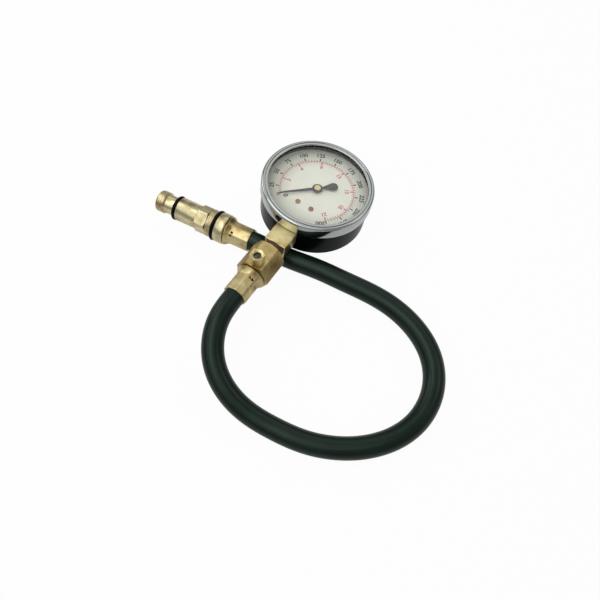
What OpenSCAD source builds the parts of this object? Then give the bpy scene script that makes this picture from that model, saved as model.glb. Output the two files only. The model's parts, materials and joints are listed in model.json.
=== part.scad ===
// Compression tester: a dial gauge on a tee with a release valve, a short hose and a threaded end.
// The gauge lies on its back, with its stem resting on the hose where the hose crosses under it.
// Millimetres, +Z up, the stem points to -Y. The origin is on the surface that the tester lies on,
// under the middle of the gauge and its stem.

/* [Gauge] */
// Outside diameter of the black case
case_od = 69; // [67:0.5:71]
// Thickness of the case's sheet
case_wall = 0.9; // [0.7:0.1:1.1]
// Rounding of the case's back edge
case_round = 2; // [1.2:0.1:2.5]
// Height of the stem's axis above the back of the case
stem_h = 13.2; // [12.6:0.1:14]
// Lean of the dial about the stem, in degrees
roll = 5; // [3.5:0.1:6]
// Wall of the chrome ring beside the case
bezel_wall = 1.05; // [0.8:0.05:1.3]
// Height of the chrome ring
bezel_h = 8.6; // [8.4:0.1:9.4]
// Rounding of the chrome ring's front edge
bezel_round = 1.6; // [1:0.1:2]
// Thickness of the ring's lip over the lens
lip_t = 1.2; // [1.1:0.1:1.5]
// Diameter of the opening in the ring
window_d = 61.8; // [60:0.2:63]
// Thickness of the lens
lens_t = 1.8; // [1.5:0.1:2.2]
// Thickness of the gasket under the lens
gasket_t = 0.6; // [0.4:0.1:0.8]
// Depth of the dial below the case's rim
dial_depth = 4.1; // [3.8:0.1:4.3]
// Thickness of the dial
dial_t = 0.6; // [0.4:0.1:0.8]
// Length of the pointer from its middle to its tip
pointer_len = 26; // [22:0.5:27]
// Thickness of the pointer
pointer_t = 0.5; // [0.3:0.1:0.7]
// Diameter of the pointer's brass hub
hub_d = 4; // [3.4:0.1:5]

/* [Socket] */
// Width of the brass block
block_w = 14; // [13:0.5:15]
// Thickness of the brass block
block_t = 11; // [10.5:0.5:12]
// Length of the block outside the case
block_out = 13.5; // [12.5:0.5:16]
// Diameter of the stem's thread
thread_d = 13; // [11:0.2:13.6]
// Length of thread that shows between block and tee
neck_len = 4.5; // [3:0.5:6]
// Length of thread inside the tee
thread_len = 9; // [7:0.5:9.5]
// Diameter of the air passage
passage_d = 4; // [3:0.2:4.4]

/* [Movement] */
// Radius of the bent tube's middle line
tube_r = 24; // [23.8:0.2:26]
// Thickness of the bent tube across its bend
tube_w = 3; // [2.4:0.2:3.2]
// Height of the bent tube's section
tube_tall = 8; // [6:0.5:9]
// Wall of the bent tube
tube_wall = 0.4; // [0.3:0.05:0.6]
// Size of the gear teeth, as pitch diameter over tooth count
gear_size = 0.3; // [0.28:0.01:0.31]
// Thickness of the sector gear
sector_t = 1; // [0.8:0.1:1.2]
// Length of the sector's tail from its pivot to its pin
tail_r = 5; // [4.6:0.1:5.2]
// Length of the link between its pins
link_len = 11; // [10:0.5:12]
// Thickness of the link
link_t = 0.8; // [0.6:0.1:1]
// Thickness of the movement's plates
plate_t = 1.2; // [1:0.1:1.3]
// Distance between the movement's plates
pillar_h = 6.2; // [6:0.1:6.4]
// Diameter of the two arbors
arbor_d = 1.6; // [1.4:0.1:1.8]

/* [Tee and release valve] */
// Width of the hexagonal tee across its flats
tee_af = 19; // [18:0.5:22]
// Length of the hexagonal tee
tee_len = 19.4; // [19:0.2:24]
// Width of the release valve across its flats
valve_af = 8; // [7.5:0.1:9]
// Height of the release valve above the tee
valve_h = 7; // [6.6:0.1:8]
// Distance of the release valve from the hose end of the tee
valve_in = 4.7; // [4.4:0.1:6]
// Diameter of the release valve's recess
recess_d = 4.6; // [4.4:0.1:5]
// Diameter of the release pin
pin_d = 2; // [1.6:0.1:2.2]
// Travel of the release pin
pin_travel = 1.4; // [1:0.1:1.6]

/* [Hose and ferrules] */
// Outside diameter of the hose
hose_od = 12.7; // [12:0.1:13]
// Bore of the hose
hose_id = 6.35; // [6:0.05:7]
// Diameter of the ferrule's flared end
flare_d = 18.5; // [17.5:0.5:19]
// Length of the flare
flare_len = 4.6; // [4:0.1:6]
// Width of the crimped sleeve across its flats
crimp_af = 14.2; // [14:0.1:15]
// Length of the crimped sleeve
crimp_len = 12.3; // [10:0.1:16]

/* [Spark plug end] */
// Diameter of the round collar
collar_d = 19.4; // [18.6:0.1:19.8]
// Length of the round collar
collar_len = 6.6; // [5:0.2:9]
// Diameter of the larger thread
thread18_d = 18; // [17.6:0.1:18]
// Length of the larger thread
thread18_len = 4.2; // [3.6:0.1:8]
// Outside diameter of the larger sealing ring
ring18_od = 20; // [19.8:0.1:21]
// Thickness of the sealing rings
ring_wire = 2.4; // [2:0.1:2.6]
// Width of the adapter across its flats
adapter_af = 15.5; // [15:0.1:16]
// Length of the adapter's hexagon
hex_len = 7.8; // [6:0.2:10]
// Diameter of the adapter's barrel
barrel_d = 15.4; // [14:0.2:16]
// Length of the adapter's barrel
barrel_len = 14.4; // [13:0.2:18]
// Outside diameter of the smaller sealing ring
ring14_od = 16.2; // [15.6:0.1:16.6]
// Length of the relief between the smaller ring and the thread
relief_len = 6.6; // [5:0.2:8]
// Diameter of the relief
relief_d = 12.2; // [11.6:0.1:12.6]
// Diameter of the smaller thread
thread14_d = 14; // [13.8:0.1:14]
// Length of the smaller thread
thread14_len = 6.2; // [5.8:0.2:8]
// Diameter of the adapter's stud
stud_d = 10; // [9:0.2:11]
// Length of the adapter's stud
stud_len = 9; // [7:0.2:10]
// Diameter of the check valve's body
core_d = 5.2; // [5:0.1:5.6]
// Length of the check valve's body
core_len = 12; // [10:0.5:14]
// Travel of the check valve
core_travel = 1.2; // [0.8:0.1:1.4]

/* [Hidden] */
$fn = 72;

// Clearances: of fixed fits, of turning or sliding fits, of free neighbours, and over-run of cuts
fit = 0.03;
run_fit = 0.05;
gap = 0.3;
over = 1;

// Colours
black = "#17181a";
chrome = "#c8ccd0";
brass = "#c9a550";
steel = "#9a9ea3";
rubber = "#20231f";

// Heights in the gauge, from the stem's axis along the dial's normal
case_r = case_od / 2;
bezel_r = case_r + fit + bezel_wall;
bezel_low = block_t / 2 + gap;
bezel_top = bezel_low + bezel_h;
lens_top = bezel_top - lip_t;
lens_low = lens_top - lens_t;
case_rim = lens_low - gasket_t;
dial_top = case_rim - dial_depth;
dial_low = dial_top - dial_t;
case_floor = -stem_h + case_wall;
lens_in = 0.2;
lens_r = case_r - lens_in;
gasket_w = 2.2;
dial_r = case_r - case_wall - gap;
dial_hole_d = arbor_d + 3;

// Section of the chrome ring: its roundings fit in the width of its lip
window_r = window_d / 2;
lip_w = bezel_r - window_r;
outer_round = min(bezel_round, lip_w / 3);
bead_r = min(0.7, lip_w / 7);
bead_run = min(1.6, lip_w / 3);
bead_drop = 0.2;
lip_drop = 0.3;
low_chamfer = 0.3;
edge_r = bezel_r - outer_round;
edge_z = bezel_top - outer_round;

// Stations along the stem, from the middle of the gauge
block_in = 11;
block_end = case_r + block_out;
tee_start = block_end + neck_len;
stem_end = tee_start + thread_len;
tee_end = tee_start + tee_len;
ferrule_len = flare_len + crimp_len;
mouth = tee_end + ferrule_len;
valve_at = tee_end - valve_in;

// Movement: the sector's pivot lies up and to the right of the pointer's arbor
pinion_teeth = 12;
sector_teeth = 90;
pointer_sweep = 270;
swing = pointer_sweep * pinion_teeth / sector_teeth;
tooth_a = 360 / sector_teeth;
pinion_r = gear_size * pinion_teeth / 2;
sector_r = gear_size * sector_teeth / 2;
pivot_a = 30;
pivot_at = (pinion_r + sector_r) * [cos(pivot_a), sin(pivot_a)];
tail_mid = -20;
tail_rest = tail_mid - swing / 2;
link_a = tail_mid + 90;
tail_pin_at = pivot_at + tail_r * [cos(tail_rest), sin(tail_rest)];
tip_pin_at = tail_pin_at - link_len * [cos(link_a), sin(link_a)];
tip_a = atan2(tip_pin_at[1], tip_pin_at[0]);
tip_len = 2.8;
tip_gap = 0.2;
lug_w = 2.6;
lug_t = 1.8;
tube_start = tip_a + asin((tip_len / 2 + tip_gap) / (tube_r - tube_w / 2));
link_play = 0.35;
link_pin_r = 0.8;
eye_r = 2;
link_w = 2.2;
rivet_lift = 0.2;
rivet_head_t = 0.5;
rivet_lap = 0.35;
tongue_t = 1.6;
tongue_past = 4;
back_low = -block_t / 2 + tongue_t;
back_top = back_low + plate_t;
front_low = back_top + pillar_h;
front_top = front_low + plate_t;
sector_lift = 2.5;
sector_z = back_top + sector_lift;
link_lift = 0.4;
link_z = sector_z + sector_t + link_lift;
spring_drop = 1.8;
spring_z = front_low - spring_drop;
spring_tall = 0.6;
collet_r = 1.9;
spring_r = [2.15, 5.3];
spring_turns = 4;
spring_t = 0.2;
stud_r = 0.7;
stud_a = 120;
pointer_lift = 1.4;
pointer_z = dial_top + pointer_lift;
pointer_root = 0.95;
pointer_neck = 0.5;
taper_at = pointer_len * 0.8;
disc_over = 1.3;
tail_half = 0.7;
tail_root = 4;
tail_len = 13.4;
tail_bulb = 2.8;
hub_head = 0.5;
hub_top = pointer_z + pointer_t + hub_head;
hub_neck_d = hub_d - 0.8;
hub_low = dial_top + 0.5;
hub_cap = 0.3;
shoulder_d = arbor_d + 1.2;
shoulder_t = 0.6;
shoulders = [back_top + gap, front_low - gap - shoulder_t];
pinion_past = 0.45;

// Places of screws, in the gauge's own directions
case_screw_in = [17.5, 7.5];
case_screw_y = [for (d = case_screw_in) case_r - d];
dial_screw_at = [4.8, -15.2];
pillar_at = [[-5.6, 5.2], [-5.6, -5.2], [14, 5.6]];
base_screw_at = [[-4.4, 0], [3, -5]];
screw_d = 2;
head_d = 3.4;
head_t = 0.8;
slot_w = 0.4;
pillar_grip = 3;
dial_head_d = 3.2;
dial_head_t = 0.7;
dial_screw_len = 4.5;
sink_in = 0.1;
sink_rim = 0.2;
foot_d = 6;
boss_d = 4.4;
pillar_d = 2.8;

// Release valve, from the tee's flat outwards
valve_shank_d = 5.2;
valve_shank = 3.3;
valve_floor = 1;
seal_t = 1;
seal_gap = 0.1;
seal_d = 3.8;
pin_button = 0.5;
pin_button_d = pin_d + 1.2;
pin_head_r = pin_d / 2 + 0.9;
pin_round = 0.5;
pin_crown = 0.25;
spring_wire_r = 0.2;
spring_off = 0.25;
pin_in = 2.3;
pin_head_z = valve_h - pin_in;
pin_head_t = 1;
port_depth = valve_shank + seal_gap + seal_t + pin_button + pin_travel + gap;

// Hose end: barb, flange of the ferrule, and how far the hose goes in
neck_d = 10;
flange_t = 1.6;
barb_d = hose_id - 0.3;
barb_ridge_d = hose_id - 0.1;
rim_round = 0.5;
rim_h = 1.2;
flare_fall = (flare_d - crimp_af) / 2;
flare_run = flare_len - rim_h;
hollow_r = (flare_fall ^ 2 + flare_run ^ 2) / (2 * flare_fall);
hollow_a = 2 * atan(flare_fall / flare_run);
mouth_chamfer = 0.4;
crimp_lap = 0.6;
hose_in = ferrule_len - flange_t - gap;
barb_len = hose_in - over;

// Spark plug end: stations from the far ferrule's mouth, outwards
collar_s = ferrule_len;
ring18_s = collar_s + collar_len + fit + ring_wire / 2;
thread18_s = ring18_s + ring_wire / 2 + fit;
part_s = thread18_s + thread18_len;
face_gap = 0.1;
hex_s = part_s + face_gap;
barrel_s = hex_s + hex_len;
ring14_s = barrel_s + barrel_len + fit + ring_wire / 2;
relief_s = ring14_s + ring_wire / 2 + fit;
thread14_s = relief_s + relief_len;
tip_s = thread14_s + thread14_len;
stud_s = hex_s - stud_len;
ring18_r = ring18_od / 2 - ring_wire / 2;
ring14_r = ring14_od / 2 - ring_wire / 2;
seat14_r = ring14_r - ring_wire / 2 - fit;
chamfer = 0.8;
collar_chamfer = 0.6;

// Check valve: its body ends near the tip, and the seal is on the hose side of it
core_in = 3;
core_tip_s = tip_s - core_in;
core_s = core_tip_s - core_len;
core_pin_d = 1.1;
core_bore_d = 2.2;
core_well_d = 3.4;
core_well = 5;
core_collar_in = 1;
core_collar_s = core_tip_s - core_collar_in;
core_collar_t = 0.6;
core_cap_t = 0.5;
core_end = 0.3;
core_seal_gap = 0.2;
core_wire_r = 0.18;
core_room = 3.8;
core_seal_s = core_s - core_seal_gap - seal_t;
core_pin_s = core_seal_s - core_cap_t - core_end;
core_chamber_s = core_pin_s - core_travel - core_room;
core_collar_d = 3;
core_seal_d = 3.6;

// The hose's route: places chosen by hand, with the rise above a hose that lies flat
floor_gap = 0.05;
lie = hose_od / 2 + floor_gap;
far_turn = 185.3;
far_lift = 1.5;
far_at = [-20.1, -18.8, ring18_r * cos(far_lift) + ring_wire / 2 + floor_gap - ring18_s * sin(far_lift)];
cross_at = 43;
cross_rise = 1.9;
route = [[0, -80, 19], [4.5, -92, 16.6], [13, -102.5, 12.6], [26, -109.5, 7.4], [41, -111.5, 1.6],
    [56, -110.5, 0.2], [73, -108.5, 0], [88.5, -103, 0], [103, -94, 0], [115, -81, 0], [121.5, -66, 0],
    [122, -50, 0], [117, -35.5, 0], [107, -23.5, 0], [92.5, -15, 0], [76, -10.5, 0], [59.5, -10, 0],
    [43, -11.5, 0], [30.5, -12, 0], [19, -13.5, 0], [7.5, -15.5, 0], [-3, -17, 1]];
hose_sides = 12;
hose_steps = 2;

// The gauge's tilt lets its block rest on the hose, and its place puts the origin under the middle
block_rest = lie + cross_rise + hose_od / 2 + gap;
tilt = asin((block_rest + block_t / 2 - block_w / 2 * sin(roll) - stem_h) / (case_r + cross_at));
normal = [sin(roll), sin(tilt) * cos(roll), cos(tilt) * cos(roll)];
x_high = edge_z * normal[0] + edge_r * sqrt(1 - normal[0] ^ 2) + outer_round;
x_low = bezel_low * normal[0] - bezel_r * sqrt(1 - normal[0] ^ 2);
y_high = edge_z * normal[1] + edge_r * sqrt(1 - normal[1] ^ 2) + outer_round;
y_low = -mouth * cos(tilt) - crimp_af / 2 * sin(tilt);
rest_z = (stem_h - case_round) * normal[2] + (case_r - case_round) * sqrt(1 - normal[2] ^ 2) + case_round;
gauge_at = [-(x_high + x_low) / 2, -(y_high + y_low) / 2, rest_z];

// Frames: the gauge with its stem along -Y, stations along the stem, the valve's flat, and the far end
module gauge_pose() translate(gauge_at) rotate([-tilt, 0, 0]) rotate([0, roll, 0]) children();
module on_stem(s = 0) gauge_pose() rotate([90, 0, 0]) translate([0, 0, s]) children();
module on_valve() on_stem(valve_at) translate([0, tee_af / 2, 0]) rotate([-90, 0, 0]) children();
module on_far(s = 0)
    translate(far_at) rotate([0, 90 - far_lift, far_turn]) translate([0, 0, s]) children();

// The same places as points
stem_dir = [0, -cos(tilt), sin(tilt)];
far_dir = [cos(far_turn) * cos(far_lift), sin(far_turn) * cos(far_lift), sin(far_lift)];
function stem_point(s) = gauge_at + s * stem_dir;
function far_point(s) = far_at + s * far_dir;

// Arcs, sweeps and gear teeth
function arc(centre, r, a0, a1, n = 8) =
    [for (i = [0 : n]) centre + r * [cos(a0 + (a1 - a0) * i / n), sin(a0 + (a1 - a0) * i / n)]];
function unit(v) = v / norm(v);
function spline(p, i, t) =
    ((1 - t) ^ 3 * p[i] + (3 * t ^ 3 - 6 * t ^ 2 + 4) * p[i + 1]
        + (-3 * t ^ 3 + 3 * t ^ 2 + 3 * t + 1) * p[i + 2] + t ^ 3 * p[i + 3]) / 6;
function smooth_path(p, steps) = concat(
    [for (i = [0 : len(p) - 4]) for (k = [0 : steps - 1]) spline(p, i, k / steps)],
    [spline(p, len(p) - 4, 1)]);
function ring(path, i, r, sides) = let (
    along = unit(path[min(i + 1, len(path) - 1)] - path[max(i - 1, 0)]),
    side = unit(cross(along, [0, 0, 1])),
    up = cross(side, along))
    [for (k = [0 : sides - 1]) path[i] + r * (cos(360 * k / sides) * up + sin(360 * k / sides) * side)];
function helix(r, low, high, turns, per_turn = 8) =
    [for (i = [0 : turns * per_turn]) let (a = 360 * i / per_turn)
        [r * cos(a), r * sin(a), low + (high - low) * i / (turns * per_turn)]];

// A round bar swept along a path, or a tube if it has a bore
module sweep(path, r, bore = 0, sides = 6) {
    n = len(path);
    outer = [for (i = [0 : n - 1]) each ring(path, i, r, sides)];
    inner = [for (i = [0 : n - 1]) each ring(path, i, bore, sides)];
    next = [for (k = [0 : sides - 1]) (k + 1) % sides];
    wall = [for (i = [0 : n - 2]) for (k = [0 : sides - 1]) each [
        [i * sides + k, (i + 1) * sides + k, (i + 1) * sides + next[k]],
        [i * sides + k, (i + 1) * sides + next[k], i * sides + next[k]]]];
    last = (n - 1) * sides;
    if (bore == 0) {
        caps = [[for (k = [0 : sides - 1]) k], [for (k = [sides - 1 : -1 : 0]) last + k]];
        polyhedron(outer, concat(wall, caps));
    } else {
        m = n * sides;
        bore_wall = [for (f = wall) [m + f[2], m + f[1], m + f[0]]];
        start = [for (k = [0 : sides - 1]) each [[k, next[k], m + next[k]], [k, m + next[k], m + k]]];
        end = [for (k = [0 : sides - 1]) let (a = last + k, b = last + next[k]) each [
            [a, m + b, b], [a, m + a, m + b]]];
        polyhedron(concat(outer, inner), concat(wall, bore_wall, start, end));
    }
}

// One flank's angle from the tooth's middle, at radius r, for involute teeth thinned for free running
pressure_a = 20;
thinning = 0.05;
pinion_root = 1.15;
pinion_tip = 0.9;
sector_root = 1.3;
sector_tip = 0.7;
function roll_of(r, base) = let (t = sqrt(max((r / base) ^ 2 - 1, 0))) t * 180 / PI - atan(t);
function flank_a(r, pitch_r, teeth) = let (base = pitch_r * cos(pressure_a))
    90 / teeth - thinning / 2 / pitch_r * 180 / PI + roll_of(pitch_r, base) - roll_of(r, base);
function tooth(mid, pitch_r, teeth, root, tip) =
    [for (side = [-1, 1]) for (i = [0 : 4]) let (
        r = side < 0 ? root + (tip - root) * i / 4 : tip - (tip - root) * i / 4,
        a = mid + side * flank_a(r, pitch_r, teeth)) r * [cos(a), sin(a)]];

module stadium(w, tall) {
    square([w, tall - w], center = true);
    for (s = [-1, 1]) translate([0, s * (tall - w) / 2]) circle(d = w);
}

module rounded_rect(low, high, r) {
    translate([low[0] + r, low[1]]) square([high[0] - low[0] - 2 * r, high[1] - low[1]]);
    translate([low[0], low[1] + r]) square([high[0] - low[0], high[1] - low[1] - 2 * r]);
    for (x = [low[0] + r, high[0] - r]) for (y = [low[1] + r, high[1] - r]) translate([x, y]) circle(r);
}

// A hexagonal bar with turned ends, from z = 0
module hex_bar(af, h, low_end = true) intersection() {
    cylinder(d = af / cos(30), h = h, $fn = 6);
    rotate_extrude() let (corner = af / 2 / cos(30) + fit, drop = (corner - af / 2) * tan(30))
        polygon([[0, 0], [low_end ? af / 2 : corner, 0], [corner, low_end ? drop : 0],
            [corner, h - drop], [af / 2, h], [0, h]]);
}

// A barbed tail for the hose, from z = 0 at the ferrule's flange
module barb() {
    cylinder(d = barb_d, h = barb_len);
    ridge = barb_len / 4;
    for (i = [1 : 3]) translate([0, 0, ridge * i - over])
        cylinder(d1 = barb_ridge_d, d2 = barb_d, h = ridge);
}

// A ferrule from its flared end at z = 0 to its mouth
module ferrule() difference() {
    union() {
        rotate_extrude() polygon(concat([[0, 0]],
            arc([flare_d / 2 - rim_round, rim_round], rim_round, -90, 0, 3),
            arc([crimp_af / 2 + hollow_r, flare_len], hollow_r, 180 + hollow_a, 180, 6),
            [[crimp_af / 2, ferrule_len - mouth_chamfer],
                [crimp_af / 2 - mouth_chamfer, ferrule_len], [0, ferrule_len]]));
        translate([0, 0, flare_len - crimp_lap])
            cylinder(d = crimp_af / cos(22.5), h = crimp_len, $fn = 8);
    }
    translate([0, 0, -over]) cylinder(d = neck_d + 2 * fit, h = ferrule_len);
    translate([0, 0, flange_t]) cylinder(d = hose_od + 2 * run_fit, h = ferrule_len);
}

module sealing_ring(mid_r) rotate_extrude() translate([mid_r, 0]) circle(d = ring_wire, $fn = 32);

// Countersunk screw from the back of the case
module back_screw(extra = 0) rotate_extrude()
    let (low = sink_in - extra * 3, r = screw_d / 2 + extra)
        polygon([[0, low], [screw_d + extra, low], [screw_d + extra, sink_rim],
            [r, case_wall], [r, stem_h], [0, stem_h]]);

// Pan-head screw, its head sitting on z = 0
module pan_screw(shank, head_d = head_d, head_t = head_t) {
    difference() {
        cylinder(d = head_d, h = head_t);
        translate([-head_d, -slot_w / 2, head_t / 2]) cube([2 * head_d, slot_w, head_t]);
    }
    translate([0, 0, -shank]) cylinder(d = screw_d, h = shank + head_t / 4);
}

module gauge_case() color(black) gauge_pose() difference() {
    rotate_extrude() polygon(concat([[0, -stem_h]],
        arc([case_r - case_round, -stem_h + case_round], case_round, -90, 0),
        [[case_r, case_rim], [case_r - case_wall, case_rim]],
        arc([case_r - case_round, -stem_h + case_round], case_round - case_wall, 0, -90),
        [[0, case_floor]]));
    translate([-block_w / 2 - fit, -case_r - over, -block_t / 2 - fit])
        cube([block_w + 2 * fit, case_r, block_t + 2 * fit]);
    for (y = case_screw_y) translate([0, -y, -stem_h]) back_screw(run_fit);
}

module bezel_ring() color(chrome) gauge_pose() rotate_extrude() polygon(concat(
    [[case_r + fit, bezel_low], [bezel_r - low_chamfer, bezel_low], [bezel_r, bezel_low + low_chamfer]],
    arc([edge_r, edge_z], outer_round, 0, 90),
    [[window_r + bead_run, bezel_top - lip_drop]],
    arc([window_r + bead_r, bezel_top - bead_drop - bead_r], bead_r, 60, 180),
    [[window_r, lens_top + fit], [case_r + fit, lens_top + fit]]));

module lens() color("#dfe8ea", 0.35) gauge_pose() translate([0, 0, lens_low])
    cylinder(r = lens_r, h = lens_t);

module lens_gasket() color(rubber) gauge_pose() translate([0, 0, case_rim]) difference() {
    cylinder(r = lens_r, h = gasket_t);
    translate([0, 0, -over]) cylinder(r = lens_r - gasket_w, h = gasket_t + 2 * over);
}

module dial_plate() color("#e9eae4") gauge_pose() translate([0, 0, dial_low]) difference() {
    cylinder(r = dial_r, h = dial_t);
    translate([0, 0, -over]) cylinder(d = dial_hole_d, h = dial_t + 2 * over);
    for (s = [-1, 1]) translate([s * dial_screw_at[0], dial_screw_at[1], -over])
        cylinder(d = screw_d + 2 * fit, h = dial_t + 2 * over);
}

module dial_screws() color(brass) gauge_pose() for (s = [-1, 1])
    translate([s * dial_screw_at[0], dial_screw_at[1], dial_top])
        pan_screw(dial_screw_len, dial_head_d, dial_head_t);

// The pointer rests at the start of the scale, half past seven
module pointer() color(black) gauge_pose() translate([0, 0, pointer_z]) rotate([0, 0, 225]) difference() {
    linear_extrude(pointer_t) {
        circle(d = hub_d + 2 * disc_over);
        polygon([[0, -pointer_root], [taper_at, -pointer_neck], [pointer_len, 0], [taper_at, pointer_neck],
            [0, pointer_root]]);
        polygon(concat([[0, tail_half], [-tail_root, tail_half]],
            arc([tail_bulb - tail_len, 0], tail_bulb, 75, 285, 12),
            [[-tail_root, -tail_half], [0, -tail_half]]));
    }
    translate([0, 0, -over]) cylinder(d = hub_neck_d + 2 * fit, h = pointer_t + 2 * over);
}

module pointer_hub() color(brass) gauge_pose() difference() {
    union() {
        translate([0, 0, hub_low]) cylinder(d = hub_neck_d, h = hub_top - hub_low);
        translate([0, 0, pointer_z + pointer_t]) cylinder(d = hub_d, h = hub_head);
    }
    translate([0, 0, dial_top]) cylinder(d = arbor_d + 2 * fit, h = hub_top - hub_cap - dial_top);
}

module pinion_arbor() color(brass) gauge_pose() {
    translate([0, 0, back_low + gap]) cylinder(d = arbor_d, h = hub_top - hub_cap - fit - back_low - gap);
    for (z = shoulders) translate([0, 0, z]) cylinder(d = shoulder_d, h = shoulder_t);
    translate([0, 0, sector_z - pinion_past]) linear_extrude(sector_t + 2 * pinion_past)
        polygon([for (k = [0 : pinion_teeth - 1])
            each tooth(pivot_a + 360 * (k + 0.5) / pinion_teeth, pinion_r, pinion_teeth,
                pinion_r - pinion_root * gear_size, pinion_r + pinion_tip * gear_size)]);
}

module hairspring_collet() color(brass) gauge_pose() translate([0, 0, spring_z - 0.1]) difference() {
    cylinder(r = collet_r, h = spring_tall + 0.2);
    translate([0, 0, -over]) cylinder(d = arbor_d + 2 * fit, h = spring_tall + 2 * over);
}

function spiral(i, n, shift) = let (a = stud_a + 360 * spring_turns * (i / n - 1),
    r = spring_r[0] + (spring_r[1] - spring_r[0]) * i / n + shift) r * [cos(a), sin(a)];
module hairspring() color(steel) gauge_pose() translate([0, 0, spring_z]) linear_extrude(spring_tall)
    let (n = 24 * spring_turns) polygon(concat(
        [for (i = [0 : n]) spiral(i, n, spring_t / 2)],
        [for (i = [n : -1 : 0]) spiral(i, n, -spring_t / 2)]));

module hairspring_stud() color(brass) gauge_pose() rotate([0, 0, stud_a])
    translate([spring_r[1] + spring_t / 2 + 0.1 + stud_r, 0, spring_z - 0.2])
        cylinder(r = stud_r, h = front_low - spring_z + 0.2);

// The toothed sector with its tail, drawn about its pivot
sector_first = -11;
sector_last = 2;
sector_hub_r = 2.8;
tail_w = 2.4;
tail_eye_r = 1.7;
module sector_gear() color(brass) gauge_pose() translate([pivot_at[0], pivot_at[1], sector_z])
    linear_extrude(sector_t) difference() {
        union() {
            polygon(concat([[0, 0]], [for (k = [sector_first : sector_last])
                each tooth(180 + pivot_a + k * tooth_a, sector_r, sector_teeth,
                    sector_r - sector_root * gear_size, sector_r + sector_tip * gear_size)]));
            circle(r = sector_hub_r);
            rotate(tail_rest) translate([0, -tail_w / 2]) square([tail_r, tail_w]);
            translate(tail_r * [cos(tail_rest), sin(tail_rest)]) circle(r = tail_eye_r);
        }
        circle(d = arbor_d + 2 * fit);
        translate(tail_r * [cos(tail_rest), sin(tail_rest)]) circle(r = link_pin_r + fit);
        for (k = [sector_first + 2.5, sector_last - 1.5])
            rotate(180 + pivot_a + (k + (sector_first + sector_last) / 2) / 2 * tooth_a)
                translate([sector_r * 0.66, 0]) circle(r = sector_r * 0.11);
    }

module sector_arbor() color(brass) gauge_pose() translate(pivot_at) {
    translate([0, 0, back_low + gap]) cylinder(d = arbor_d, h = front_top - back_low - 2 * gap);
    for (z = shoulders) translate([0, 0, z]) cylinder(d = shoulder_d, h = shoulder_t);
}

// A rivet through two eyes, from low to the top of the link, with a head
rivet_z = link_z + link_t + rivet_lift;
module link_rivet(low) {
    translate([0, 0, low]) cylinder(r = link_pin_r, h = rivet_z - low);
    translate([0, 0, rivet_z]) cylinder(r = link_pin_r + link_play + rivet_lap, h = rivet_head_t);
}
module tail_pin() color(steel) gauge_pose() translate(tail_pin_at) link_rivet(sector_z);
module tip_pin() color(steel) gauge_pose() translate(tip_pin_at) link_rivet(sector_z);

module link() color(brass) gauge_pose() translate([tip_pin_at[0], tip_pin_at[1], link_z]) rotate(link_a)
    linear_extrude(link_t) difference() {
        union() {
            circle(r = eye_r);
            translate([link_len, 0]) circle(r = eye_r);
            translate([0, -link_w / 2]) square([link_len, link_w]);
        }
        circle(r = link_pin_r + fit);
        translate([link_len, 0]) circle(r = link_pin_r + link_play);
    }

// Flattened tube, bent round the movement from the socket to its closed tip
root_in = 1.5;
root_a = 180 + acos((block_w / 2 - root_in) / tube_r);
module tube_arc(from, to) rotate(from) rotate_extrude(angle = to - from, $fn = 96)
    translate([tube_r, 0]) children();
module bourdon_tube() color(brass) gauge_pose() tube_arc(tube_start, root_a) difference() {
    stadium(tube_w, tube_tall);
    stadium(tube_w - 2 * tube_wall, tube_tall - 2 * tube_wall);
}

module tube_tip() color(brass) gauge_pose() difference() {
    union() {
        rotate(tip_a) translate([tube_r, 0, 0]) rotate([90, 0, 0])
            linear_extrude(tip_len, center = true) stadium(tube_w, tube_tall);
        translate([0, 0, sector_z + sector_t - lug_t]) {
            rotate(tip_a) translate([norm(tip_pin_at), -lug_w / 2, 0])
                cube([tube_r - norm(tip_pin_at), lug_w, lug_t]);
            translate(tip_pin_at) cylinder(r = eye_r - gap, h = lug_t);
        }
    }
    translate([tip_pin_at[0], tip_pin_at[1], sector_z]) cylinder(r = link_pin_r + fit, h = tube_tall);
}

// The plates share one outline, set along the line of the two arbors
plate_low = [-7.4, -7];
plate_side = 7.4;
plate_past = 2.4;
plate_round = 2;
module plate_outline(pillar_hole) rotate(pivot_a) difference() {
    rounded_rect(plate_low, [norm(pivot_at) + plate_past, plate_side], plate_round);
    circle(r = arbor_d / 2 + run_fit);
    translate([norm(pivot_at), 0]) circle(r = arbor_d / 2 + run_fit);
    if (pillar_hole) for (p = pillar_at) translate(p) circle(d = screw_d + 2 * fit);
    else for (p = base_screw_at) translate(p) circle(d = screw_d + 2 * fit);
}
module movement_back_plate() color(brass) gauge_pose() translate([0, 0, back_low])
    linear_extrude(plate_t) plate_outline(false);
module movement_front_plate() color(brass) gauge_pose() translate([0, 0, front_low])
    linear_extrude(plate_t) plate_outline(true);
module movement_pillars() color(brass) gauge_pose() rotate(pivot_a) for (p = pillar_at)
    translate([p[0], p[1], back_top]) difference() {
        cylinder(d = pillar_d, h = pillar_h);
        translate([0, 0, pillar_h - pillar_grip - gap]) cylinder(d = screw_d + 2 * fit, h = pillar_h);
    }
module movement_screws() color(steel) gauge_pose() rotate(pivot_a) {
    for (p = pillar_at) translate([p[0], p[1], front_top]) pan_screw(plate_t + pillar_grip);
    for (p = base_screw_at) translate([p[0], p[1], back_top]) pan_screw(plate_t + tongue_t - gap);
}

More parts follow.
